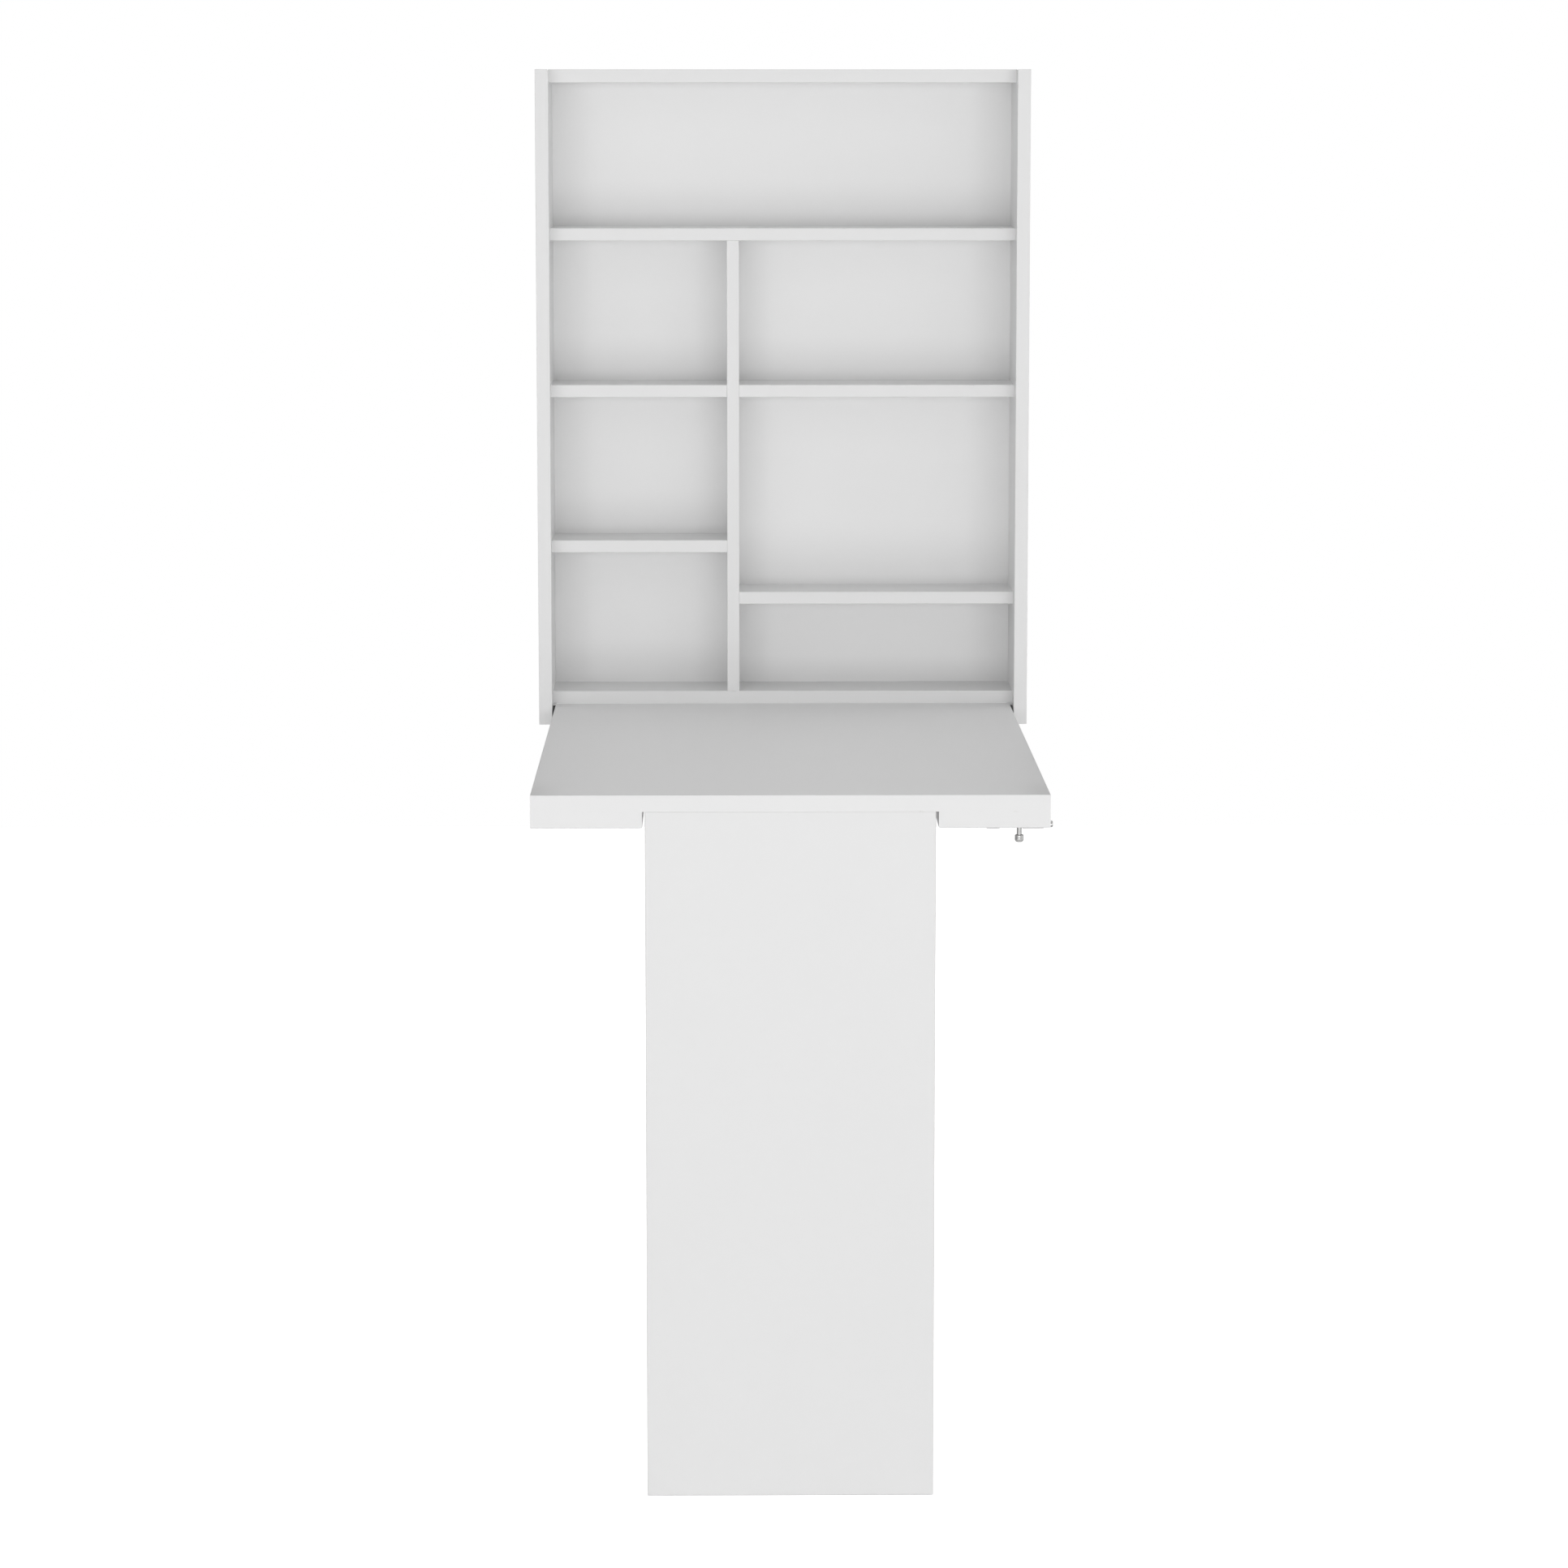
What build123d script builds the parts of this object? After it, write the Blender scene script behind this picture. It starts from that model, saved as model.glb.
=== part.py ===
from build123d import *
import os

# Wall-hung secretary desk: a shelf cabinet with a fold-down desktop that closes flush
# between the cabinet's side panels, and a board leg that folds into the desktop's cut-out.
#
# Millimetres. +X is to the right of a person facing the cabinet, +Y goes into the wall and
# +Z is up. Y = 0 is the wall plane. The origin is the centre of the wall cleat's screw line.
# The desk is modelled open, with the leg down on the floor. Heights in the variables below
# are above the floor, and ORIGIN_HEIGHT takes them to Z.

# ---- cabinet boards ----
CABINET_WIDTH = 600.0
CABINET_DEPTH = 155.0
SIDE_THICKNESS = 16.0
TOP_THICKNESS = 16.0
SHELF_THICKNESS = 15.0
CLEAR_BAY = 176.0            # clear height of each full bay
LOW_LEFT_CLEAR = 172.0       # clear height below the lower left shelf
LOW_RIGHT_CLEAR = 240.0      # clear height above the lower right shelf
SHELF_DEPTH = 95.5
DIVIDER_CENTRE_X = -61.0
BACK_THICKNESS = 3.0
BACK_GROOVE_DEPTH = 5.0
BACK_GROOVE_PLAY = 0.1       # each side of the back panel in its groove
EDGE_EASE = 0.6              # small rounding of exposed board edges
SOFT_EDGE_EASE = 1.0         # rounding of the leg's and the outer strips' edges

# ---- desktop ----
DESK_HEIGHT = 777.5          # writing surface above the floor
DESK_BOARD = 18.0            # inner board
DESK_LAYER = 18.0            # outer strips beside the leg cut-out
DESK_WIDTH = 561.0
DESK_UNDER_GAP = 0.5         # desktop to bottom panel
DOOR_INNER_GAP = 1.0         # closed door to shelf fronts
LEG_CUTOUT_WIDTH = 320.0

# ---- leg ----
LEG_WIDTH = 314.0
LEG_THICKNESS = 15.0
LEG_TOP_GAP = 0.1            # leg's top end to the underside of the inner board
LEG_PIN_INSET = 1.5          # hinge pin axis off the leg's back face and the board's underside

# ---- desk pivots, one in each side panel ----
PIVOT_REAR_MARGIN = 12.5     # desktop's rear edge behind the pivot axis
PIVOT_PIN_R = 4.0
PIVOT_RUNNING_GAP = 0.05
PIVOT_DEPTH_IN_SIDE = 12.0
PIVOT_PIN_END_GAP = 1.0      # pin's inner end short of the bushing's
BUSHING_R = 6.0
BUSHING_LENGTH = 16.0
BUSHING_FLANGE_R = 8.0
BUSHING_FLANGE_GAP = 0.3     # flange to the side panel, which keeps the desktop central

# ---- leg butt hinges ----
HINGE_LENGTH = 64.0
HINGE_CENTRES_X = (-95.0, 95.0)
KNUCKLE_R = 2.5
KNUCKLE_COUNT = 5
KNUCKLE_GAP = 0.3
HINGE_PIN_R = 1.5
HINGE_RUNNING_GAP = 0.05
LEAF_THICKNESS = 1.2
LEAF_REACH = 20.0            # pin axis to the leaf's far edge
LEAF_RELIEF = 3.0            # leaf and board kept this far from the other part's knuckles
KNUCKLE_CLEARANCE = 0.4
LEAF_SCREW_REACH = 12.0      # pin axis to the screw row
LEAF_SCREW_PITCH = 23.0

# ---- barrel bolt on the desktop's outer face ----
BOLT_BEHIND_EDGE = 65.0      # bolt axis behind the desktop's front edge
BOLT_AXIS_OFF_FACE = 5.6
BOLT_ROD_R = 3.5
BOLT_RUNNING_GAP = 0.05
BOLT_TIP_X = 287.0
BOLT_ROD_LENGTH = 78.0
BOLT_END_CHAMFER = 0.8
GUIDE_WALL = 1.2
GUIDE_SPANS_X = ((215.0, 229.0), (254.0, 277.0))
BOLT_PLATE_X = (207.0, 280.0)
BOLT_PLATE_WIDTH = 24.0
BOLT_PLATE_THICKNESS = 1.2
BOLT_PLATE_CORNER_R = 2.0
BOLT_SCREW_EDGE = 0.8        # screw head to the plate's long edge
BOLT_SCREW_FROM_END = 5.0    # outer screws behind the outer guide's end
KNOB_X = 250.5
KNOB_STEM_R = 2.7
KNOB_HEAD_R = 4.7
KNOB_HEAD_HEIGHT = 8.0
KNOB_NOSE_R = 2.6            # rounding at the head's free end
KNOB_SHOULDER_R = 1.2
KNOB_SEAT_DEPTH = 0.8        # flat in the rod that the stem stands on
KNOB_REACH = 25.1            # outer face of the desktop to the end of the knob
KNOB_STUD_R = 1.5
KNOB_STUD_DEPTH = 4.0

# ---- hidden joinery ----
JOINT_CAM_SETBACK = 28.0     # cam joint behind the shelf's front edge
JOINT_DOWEL_SETBACK = 66.0   # dowel behind the shelf's front edge
CAM_R = 7.5
CAM_HEIGHT = 11.5
CAM_POCKET_DEPTH = 12.0
CAM_FROM_END = 24.0
CAM_BOLT_R = 3.0
CAM_BOLT_THREAD_R = 2.5
CAM_BOLT_THREAD = 11.0
CAM_BOLT_BORE_R = 3.5
CAM_DRIVE_SHARE = 0.5        # cross drive's width over the cam's
CAM_DRIVE_WIDTH = 1.6
CAM_DRIVE_DEPTH = 2.5
DOWEL_R = 4.0
DOWEL_IN_SIDE = 10.0
DOWEL_IN_SHELF = 20.0
DOWEL_IN_DIVIDER = 7.0
DIVIDER_DOWEL_SETBACKS = (24.0, 72.0)

# ---- wall hanging: a pair of bevelled cleats behind the back panel ----
CLEAT_THICKNESS = 15.0
CLEAT_HEIGHT = 60.0
CLEAT_BACK_GAP = 0.5         # back panel to the hanging cleat
WALL_CLEAT_LENGTH = 560.0
WALL_SCREW_SPACING = 400.0
WALL_SCREW_R = 3.0
WALL_SCREW_HEAD_R = 6.0
WALL_SCREW_BELOW_BEVEL = 30.0
CLEAT_DOWEL_DROPS = (16.0, 36.0)

# ---- screws ----
SCREW_SHAFT_R = 1.6
SCREW_HEAD_R = 2.9
SCREW_LENGTH = 12.0
SCREW_POINT = 2.5
SCREW_POINT_R = 0.4
DRIVE_SHARE = 0.7            # cross drive's width over the head's
DRIVE_WIDTH = 0.8
DRIVE_DEPTH = 0.7

# ---- places worked out from the sizes ----
half_width = CABINET_WIDTH / 2
inner_x = half_width - SIDE_THICKNESS
front_y = -CABINET_DEPTH

desk_under_height = DESK_HEIGHT - DESK_BOARD
desk_face_height = desk_under_height - DESK_LAYER
pivot_height = DESK_HEIGHT - DESK_BOARD / 2
pivot_y = front_y + DESK_BOARD / 2 + DESK_LAYER
shelf_front_y = pivot_y + DESK_BOARD / 2 + DOOR_INNER_GAP
back_front_y = shelf_front_y + SHELF_DEPTH
desk_rear_y = pivot_y + PIVOT_REAR_MARGIN

side_bottom = pivot_height - PIVOT_REAR_MARGIN
floor_panel_under = DESK_HEIGHT + DESK_UNDER_GAP
floor_panel_top = floor_panel_under + SHELF_THICKNESS
left_low_top = floor_panel_top + LOW_LEFT_CLEAR + SHELF_THICKNESS
middle_top = left_low_top + CLEAR_BAY + SHELF_THICKNESS
right_low_top = middle_top - SHELF_THICKNESS - LOW_RIGHT_CLEAR
upper_top = middle_top + CLEAR_BAY + SHELF_THICKNESS
top_panel_under = upper_top + CLEAR_BAY
side_top = top_panel_under + TOP_THICKNESS

desk_front_y = pivot_y - (side_top - pivot_height)
leg_front_y = desk_front_y
leg_back_y = leg_front_y + LEG_THICKNESS
leg_pin_y = leg_back_y + LEG_PIN_INSET
leg_pin_height = desk_under_height - LEG_PIN_INSET

divider_left_x = DIVIDER_CENTRE_X - SHELF_THICKNESS / 2
divider_right_x = DIVIDER_CENTRE_X + SHELF_THICKNESS / 2

bolt_y = desk_front_y + BOLT_BEHIND_EDGE
bolt_height = desk_face_height - BOLT_AXIS_OFF_FACE

hanging_cleat_bottom = top_panel_under - CLEAT_HEIGHT
hanging_cleat_y = back_front_y + BACK_THICKNESS + CLEAT_BACK_GAP
wall_cleat_y = -CLEAT_THICKNESS
# The cleats meet on a 45 degree plane. This is its height where it reaches the wall.
bevel_height_at_wall = hanging_cleat_bottom + hanging_cleat_y + CLEAT_THICKNESS
ORIGIN_HEIGHT = bevel_height_at_wall - WALL_SCREW_BELOW_BEVEL


def box_between(x, y, height):
    """Box between three (low, high) pairs, with heights above the floor."""
    spans = (x, y, height)
    size = [high - low for low, high in spans]
    centre = [(high + low) / 2 for low, high in spans]
    return Pos(centre[0], centre[1], centre[2] - ORIGIN_HEIGHT) * Box(*size)


def rod_along_x(radius, x, y, height):
    """Round bar between two x positions."""
    middle = (x[0] + x[1]) / 2
    bar = Cylinder(radius, x[1] - x[0])
    return Pos(middle, y, height - ORIGIN_HEIGHT) * Rot(0, 90, 0) * bar


def rod_along_y(radius, x, y, height):
    """Round bar between two y positions."""
    middle = (y[0] + y[1]) / 2
    bar = Cylinder(radius, y[1] - y[0])
    return Pos(x, middle, height - ORIGIN_HEIGHT) * Rot(90, 0, 0) * bar


def rod_upright(radius, x, y, height):
    """Round bar between two heights."""
    middle = (height[0] + height[1]) / 2
    bar = Cylinder(radius, height[1] - height[0])
    return Pos(x, y, middle - ORIGIN_HEIGHT) * bar


def ease(edges, radius=EDGE_EASE):
    """Round the given sharp edges of a board a little, and return the board."""
    return fillet(edges, radius)


def front_edges(board):
    """The long edges of a board's front face, which run along X."""
    face = board.faces().sort_by(Axis.Y)[0]
    return face.edges().filter_by(Axis.X)


def save(node, *solids):
    """Write one node, with each of its pieces as a solid of its own."""
    pieces = [solid for shape in solids for solid in shape.solids()]
    shape = pieces[0] if len(pieces) == 1 else Compound(children=pieces)
    export_step(shape, f"parts/{node}.step")


# ---- screws ----

def screw_blank():
    """Countersunk screw without its drive, head up, with the head's top at the origin."""
    head_height = SCREW_HEAD_R - SCREW_SHAFT_R
    shaft_height = SCREW_LENGTH - head_height - SCREW_POINT
    head = Pos(0, 0, -head_height / 2) * Cone(SCREW_SHAFT_R, SCREW_HEAD_R, head_height)
    shaft = Pos(0, 0, -head_height - shaft_height / 2) * Cylinder(SCREW_SHAFT_R, shaft_height)
    point_middle = -SCREW_LENGTH + SCREW_POINT / 2
    point = Pos(0, 0, point_middle) * Cone(SCREW_POINT_R, SCREW_SHAFT_R, SCREW_POINT)
    return head + shaft + point


def cross_drive(radius, width, depth):
    """Cross-shaped recess cut down from the origin."""
    slot = Pos(0, 0, -depth / 2) * Box(2 * radius, width, depth)
    return slot + Rot(0, 0, 90) * slot


def screws_at(places):
    """Finished screws at a list of locations."""
    drive = cross_drive(SCREW_HEAD_R * DRIVE_SHARE, DRIVE_WIDTH, DRIVE_DEPTH)
    finished = screw_blank() - drive
    return [place * finished for place in places]


def screw_holes_at(places):
    """Cutters for the same screws."""
    return [place * screw_blank() for place in places]


# ---- cam and dowel joints between shelf ends and side panels ----

class ShelfEnd:
    """Cam joint and dowel at the end of a board that butts against a side panel.

    side is -1 at the left side panel and +1 at the right one. cams_up puts the cam
    pocket in the board's upper face instead of its underside.
    """

    def __init__(self, side, top, thickness, cams_up=False):
        self.side = side
        self.wall_x = side * inner_x
        self.middle = top - thickness / 2
        self.face = top if cams_up else top - thickness
        self.inward = -1 if cams_up else 1
        self.cam_y = shelf_front_y + JOINT_CAM_SETBACK
        self.dowel_y = shelf_front_y + JOINT_DOWEL_SETBACK
        self.cam_x = self.wall_x - side * CAM_FROM_END

    def span(self, toward_cabinet, into_side):
        """An x span that crosses the joint line."""
        ends = (self.wall_x - self.side * toward_cabinet, self.wall_x + self.side * into_side)
        return min(ends), max(ends)

    def cam_span(self, depth):
        ends = (self.face, self.face + self.inward * depth)
        return min(ends), max(ends)

    def shelf_cutters(self):
        bolt_bore = self.span(CAM_FROM_END, 0.0)
        dowel_bore = self.span(DOWEL_IN_SHELF, 0.0)
        return [
            rod_upright(CAM_R, self.cam_x, self.cam_y, self.cam_span(CAM_POCKET_DEPTH)),
            rod_along_x(CAM_BOLT_BORE_R, bolt_bore, self.cam_y, self.middle),
            rod_along_x(DOWEL_R, dowel_bore, self.dowel_y, self.middle),
        ]

    def side_cutters(self):
        thread_bore = self.span(0.0, CAM_BOLT_THREAD)
        dowel_bore = self.span(0.0, DOWEL_IN_SIDE)
        return [
            rod_along_x(CAM_BOLT_THREAD_R, thread_bore, self.cam_y, self.middle),
            rod_along_x(DOWEL_R, dowel_bore, self.dowel_y, self.middle),
        ]

    def dowel(self):
        return rod_along_x(DOWEL_R, self.span(DOWEL_IN_SHELF, DOWEL_IN_SIDE), self.dowel_y, self.middle)

    def cam_bolt(self):
        shank_end = CAM_FROM_END - CAM_BOLT_R
        shank = rod_along_x(CAM_BOLT_R, self.span(shank_end, 0.0), self.cam_y, self.middle)
        thread = rod_along_x(
            CAM_BOLT_THREAD_R, self.span(0.0, CAM_BOLT_THREAD), self.cam_y, self.middle
        )
        return shank + thread

    def cam(self):
        drum = rod_upright(CAM_R, self.cam_x, self.cam_y, self.cam_span(CAM_HEIGHT))
        mouth = self.span(CAM_FROM_END + CAM_BOLT_BORE_R, 0.0)
        bolt_way = rod_along_x(CAM_BOLT_BORE_R, mouth, self.cam_y, self.middle)
        tilt = 0 if self.inward < 0 else 180
        face = Pos(self.cam_x, self.cam_y, self.face - ORIGIN_HEIGHT) * Rot(tilt, 0, 0)
        drive = face * cross_drive(CAM_R * CAM_DRIVE_SHARE, CAM_DRIVE_WIDTH, CAM_DRIVE_DEPTH)
        return drum - bolt_way - drive


left_ends = {
    "top": ShelfEnd(-1, side_top, TOP_THICKNESS, cams_up=True),
    "upper": ShelfEnd(-1, upper_top, SHELF_THICKNESS),
    "middle": ShelfEnd(-1, middle_top, SHELF_THICKNESS),
    "low": ShelfEnd(-1, left_low_top, SHELF_THICKNESS),
    "floor": ShelfEnd(-1, floor_panel_top, SHELF_THICKNESS),
}
right_ends = {
    "top": ShelfEnd(1, side_top, TOP_THICKNESS, cams_up=True),
    "upper": ShelfEnd(1, upper_top, SHELF_THICKNESS),
    "middle": ShelfEnd(1, middle_top, SHELF_THICKNESS),
    "low": ShelfEnd(1, right_low_top, SHELF_THICKNESS),
    "floor": ShelfEnd(1, floor_panel_top, SHELF_THICKNESS),
}
all_ends = list(left_ends.values()) + list(right_ends.values())


def short_shelf_dowels(top, left):
    """Dowels between a short shelf and the divider."""
    height = top - SHELF_THICKNESS / 2
    if left:
        x = (divider_left_x - DOWEL_IN_SHELF, divider_left_x + DOWEL_IN_DIVIDER)
    else:
        x = (divider_right_x - DOWEL_IN_DIVIDER, divider_right_x + DOWEL_IN_SHELF)
    return [
        rod_along_x(DOWEL_R, x, shelf_front_y + setback, height)
        for setback in DIVIDER_DOWEL_SETBACKS
    ]


def upright_dowels(joint_height, into_shelf):
    """Dowels between an end of the divider and the board above or below it."""
    ends = (joint_height + into_shelf * DOWEL_IN_SIDE, joint_height - into_shelf * DOWEL_IN_SHELF)
    span = (min(ends), max(ends))
    return [
        rod_upright(DOWEL_R, DIVIDER_CENTRE_X, shelf_front_y + setback, span)
        for setback in DIVIDER_DOWEL_SETBACKS
    ]


def cleat_dowels(side):
    """Dowels between the hanging cleat and a side panel."""
    wall_x = side * inner_x
    ends = (wall_x - side * DOWEL_IN_SHELF, wall_x + side * DOWEL_IN_SIDE)
    middle_y = hanging_cleat_y + CLEAT_THICKNESS / 2
    return [
        rod_along_x(DOWEL_R, (min(ends), max(ends)), middle_y, top_panel_under - drop)
        for drop in CLEAT_DOWEL_DROPS
    ]


divider_shelf_dowels = (
    short_shelf_dowels(middle_top, True)
    + short_shelf_dowels(left_low_top, True)
    + short_shelf_dowels(middle_top, False)
    + short_shelf_dowels(right_low_top, False)
)
divider_end_dowels = upright_dowels(upper_top - SHELF_THICKNESS, 1) + upright_dowels(floor_panel_top, -1)
hanging_dowels = cleat_dowels(-1) + cleat_dowels(1)


# ---- cabinet boards ----

def cut(board, cutters):
    """Board with every cutter taken out of it."""
    for cutter in cutters:
        board = board - cutter
    return board


def back_groove_box():
    """Room for the back panel in the grooves of the four boards around it."""
    reach = inner_x + BACK_GROOVE_DEPTH
    heights = (floor_panel_top - BACK_GROOVE_DEPTH, top_panel_under + BACK_GROOVE_DEPTH)
    y = (back_front_y - BACK_GROOVE_PLAY, back_front_y + BACK_THICKNESS + BACK_GROOVE_PLAY)
    return box_between((-reach, reach), y, heights)


def pivot_pin(side):
    inner_end = DESK_WIDTH / 2 - BUSHING_LENGTH + PIVOT_PIN_END_GAP
    ends = (side * inner_end, side * (inner_x + PIVOT_DEPTH_IN_SIDE))
    return rod_along_x(PIVOT_PIN_R, (min(ends), max(ends)), pivot_y, pivot_height)


def side_panel(side, ends):
    x = sorted((side * inner_x, side * half_width))
    board = box_between(x, (front_y, 0.0), (side_bottom, side_top))
    board = ease(board.edges())
    board = cut(board, [cutter for end in ends.values() for cutter in end.side_cutters()])
    board = cut(board, cleat_dowels(side))
    board = board - pivot_pin(side)
    return board - back_groove_box()


def full_width_board(top, thickness, rear_y, ends):
    """Board between the two side panels, with its front edges eased."""
    board = box_between((-inner_x, inner_x), (shelf_front_y, rear_y), (top - thickness, top))
    board = ease(front_edges(board))
    return cut(board, [cutter for end in ends for cutter in end.shelf_cutters()])


def short_shelf(x, top, end, dowels):
    """Shelf between a side panel and the divider."""
    board = box_between(x, (shelf_front_y, back_front_y), (top - SHELF_THICKNESS, top))
    board = ease(front_edges(board))
    return cut(board, end.shelf_cutters() + dowels)


def divider():
    x = (divider_left_x, divider_right_x)
    height = (floor_panel_top, upper_top - SHELF_THICKNESS)
    board = box_between(x, (shelf_front_y, back_front_y), height)
    front = board.faces().sort_by(Axis.Y)[0]
    board = ease(front.edges().filter_by(Axis.Z))
    return cut(board, divider_shelf_dowels + divider_end_dowels)


def back_panel():
    reach = inner_x + BACK_GROOVE_DEPTH - BACK_GROOVE_PLAY
    low = floor_panel_top - BACK_GROOVE_DEPTH + BACK_GROOVE_PLAY
    high = top_panel_under + BACK_GROOVE_DEPTH - BACK_GROOVE_PLAY
    return box_between((-reach, reach), (back_front_y, back_front_y + BACK_THICKNESS), (low, high))


def cleat_profile(y_near, y_far, length, flat_height):
    """Bar whose one long edge is flat and whose other lies on the 45 degree meeting plane."""
    def point(y, height):
        return (y, height - ORIGIN_HEIGHT)

    outline = Polyline(
        point(y_near, flat_height),
        point(y_far, flat_height),
        point(y_far, bevel_height_at_wall - y_far),
        point(y_near, bevel_height_at_wall - y_near),
        close=True,
    )
    section = Plane.YZ * make_face(outline)
    return extrude(section, length / 2, both=True)


def hanging_cleat():
    bar = cleat_profile(
        hanging_cleat_y, hanging_cleat_y + CLEAT_THICKNESS, 2 * inner_x, top_panel_under
    )
    return cut(bar, hanging_dowels)


def wall_cleat():
    low = bevel_height_at_wall - CLEAT_HEIGHT
    bar = cleat_profile(wall_cleat_y, 0.0, WALL_CLEAT_LENGTH, low)
    sink_depth = WALL_SCREW_HEAD_R - WALL_SCREW_R
    for x in (-WALL_SCREW_SPACING / 2, WALL_SCREW_SPACING / 2):
        bar = bar - rod_along_y(WALL_SCREW_R, x, (wall_cleat_y, 0.0), ORIGIN_HEIGHT)
        sink = Rot(90, 0, 0) * Cone(WALL_SCREW_R, WALL_SCREW_HEAD_R, sink_depth)
        bar = bar - Pos(x, wall_cleat_y + sink_depth / 2, 0) * sink
    return bar


# ---- desktop ----

def desktop_board():
    half = DESK_WIDTH / 2
    board = box_between((-half, half), (desk_front_y, desk_rear_y), (desk_under_height, DESK_HEIGHT))
    top = board.faces().sort_by(Axis.Z)[-1]
    board = ease(top.edges())
    for side in (-1, 1):
        board = board - bushing_hole(side)
    board = cut(board, [hinge_recess(x) for x in HINGE_CENTRES_X])
    return cut(board, screw_holes_at(board_leaf_screws()))


def outer_strip(side):
    x = sorted((side * LEG_CUTOUT_WIDTH / 2, side * DESK_WIDTH / 2))
    board = box_between(x, (desk_front_y, desk_rear_y), (desk_face_height, desk_under_height))
    outer_face = board.faces().sort_by(Axis.Z)[0]
    board = ease(outer_face.edges(), SOFT_EDGE_EASE)
    if side > 0:
        board = cut(board, screw_holes_at(bolt_plate_screws()))
    return board


def bushing_hole(side):
    ends = (side * DESK_WIDTH / 2, side * (DESK_WIDTH / 2 - BUSHING_LENGTH))
    return rod_along_x(BUSHING_R, (min(ends), max(ends)), pivot_y, pivot_height)


def pivot_bushing(side):
    """Plain bushing pressed into the desktop's edge, with a flange outside it."""
    bore_r = PIVOT_PIN_R + PIVOT_RUNNING_GAP
    inner_end = side * (DESK_WIDTH / 2 - BUSHING_LENGTH)
    outer_end = side * (inner_x - BUSHING_FLANGE_GAP)
    rim = sorted((side * DESK_WIDTH / 2, outer_end))
    flange = rod_along_x(BUSHING_FLANGE_R, rim, pivot_y, pivot_height)
    bore = rod_along_x(bore_r, sorted((inner_end, outer_end)), pivot_y, pivot_height)
    return bushing_hole(side) + flange - bore


# ---- leg and its butt hinges ----

def hinge_span(centre):
    return centre - HINGE_LENGTH / 2, centre + HINGE_LENGTH / 2


def knuckle_span(centre, index):
    """x span of one knuckle, with half the knuckle gap taken off each end."""
    pitch = HINGE_LENGTH / KNUCKLE_COUNT
    low = centre - HINGE_LENGTH / 2 + index * pitch
    return low + KNUCKLE_GAP / 2, low + pitch - KNUCKLE_GAP / 2


def hinge_pin_span(centre):
    """The pin's ends, flush with the outer knuckles."""
    return knuckle_span(centre, 0)[0], knuckle_span(centre, KNUCKLE_COUNT - 1)[1]


def hinge_recess(centre):
    """Shallow recess in the desktop's inner board for a hinge leaf and the knuckles."""
    x = hinge_span(centre)
    leaf = box_between(
        x,
        (leg_pin_y, leg_pin_y + LEAF_REACH),
        (desk_under_height, leg_pin_height + KNUCKLE_R),
    )
    relief = box_between(
        x,
        (leg_pin_y - LEAF_RELIEF, leg_pin_y + LEAF_RELIEF),
        (desk_under_height, leg_pin_height + KNUCKLE_R + KNUCKLE_CLEARANCE),
    )
    return leaf + relief


def leg_recess(centre):
    """The matching recess in the leg's back face."""
    x = hinge_span(centre)
    leaf = box_between(
        x,
        (leg_pin_y - KNUCKLE_R, leg_back_y),
        (leg_pin_height - LEAF_REACH, leg_pin_height),
    )
    relief = box_between(
        x,
        (leg_pin_y - KNUCKLE_R - KNUCKLE_CLEARANCE, leg_back_y),
        (leg_pin_height - LEAF_RELIEF, desk_under_height),
    )
    return leaf + relief


def board_leaf(centre):
    """Hinge leaf under the desktop, with the first, third and fifth knuckles."""
    plate_heights = (leg_pin_height + KNUCKLE_R - LEAF_THICKNESS, leg_pin_height + KNUCKLE_R)
    leaf = box_between(
        hinge_span(centre), (leg_pin_y + LEAF_RELIEF, leg_pin_y + LEAF_REACH), plate_heights
    )
    for index in range(0, KNUCKLE_COUNT, 2):
        x = knuckle_span(centre, index)
        leaf = leaf + box_between(x, (leg_pin_y, leg_pin_y + LEAF_RELIEF), plate_heights)
        leaf = leaf + rod_along_x(KNUCKLE_R, x, leg_pin_y, leg_pin_height)
    leaf = leaf - rod_along_x(HINGE_PIN_R, hinge_span(centre), leg_pin_y, leg_pin_height)
    return cut(leaf, screw_holes_at(leaf_screws(centre, True)))


def leg_leaf(centre):
    """Hinge leaf on the back of the leg, with the second and fourth knuckles."""
    plate_y = (leg_pin_y - KNUCKLE_R, leg_pin_y - KNUCKLE_R + LEAF_THICKNESS)
    leaf = box_between(
        hinge_span(centre), plate_y, (leg_pin_height - LEAF_REACH, leg_pin_height - LEAF_RELIEF)
    )
    for index in range(1, KNUCKLE_COUNT, 2):
        x = knuckle_span(centre, index)
        leaf = leaf + box_between(x, plate_y, (leg_pin_height - LEAF_RELIEF, leg_pin_height))
        leaf = leaf + rod_along_x(KNUCKLE_R, x, leg_pin_y, leg_pin_height)
    bore_r = HINGE_PIN_R + HINGE_RUNNING_GAP
    leaf = leaf - rod_along_x(bore_r, hinge_span(centre), leg_pin_y, leg_pin_height)
    return cut(leaf, screw_holes_at(leaf_screws(centre, False)))


def leaf_screws(centre, in_board):
    """Locations of a leaf's three screws, each with its head on the leaf's open face."""
    open_face = KNUCKLE_R - LEAF_THICKNESS
    places = []
    for step in (-1, 0, 1):
        x = centre + step * LEAF_SCREW_PITCH
        if in_board:
            y = leg_pin_y + LEAF_SCREW_REACH
            z = leg_pin_height + open_face - ORIGIN_HEIGHT
            places.append(Pos(x, y, z) * Rot(180, 0, 0))
        else:
            y = leg_pin_y - open_face
            z = leg_pin_height - LEAF_SCREW_REACH - ORIGIN_HEIGHT
            places.append(Pos(x, y, z) * Rot(-90, 0, 0))
    return places


def board_leaf_screws():
    return [place for centre in HINGE_CENTRES_X for place in leaf_screws(centre, True)]


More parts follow.
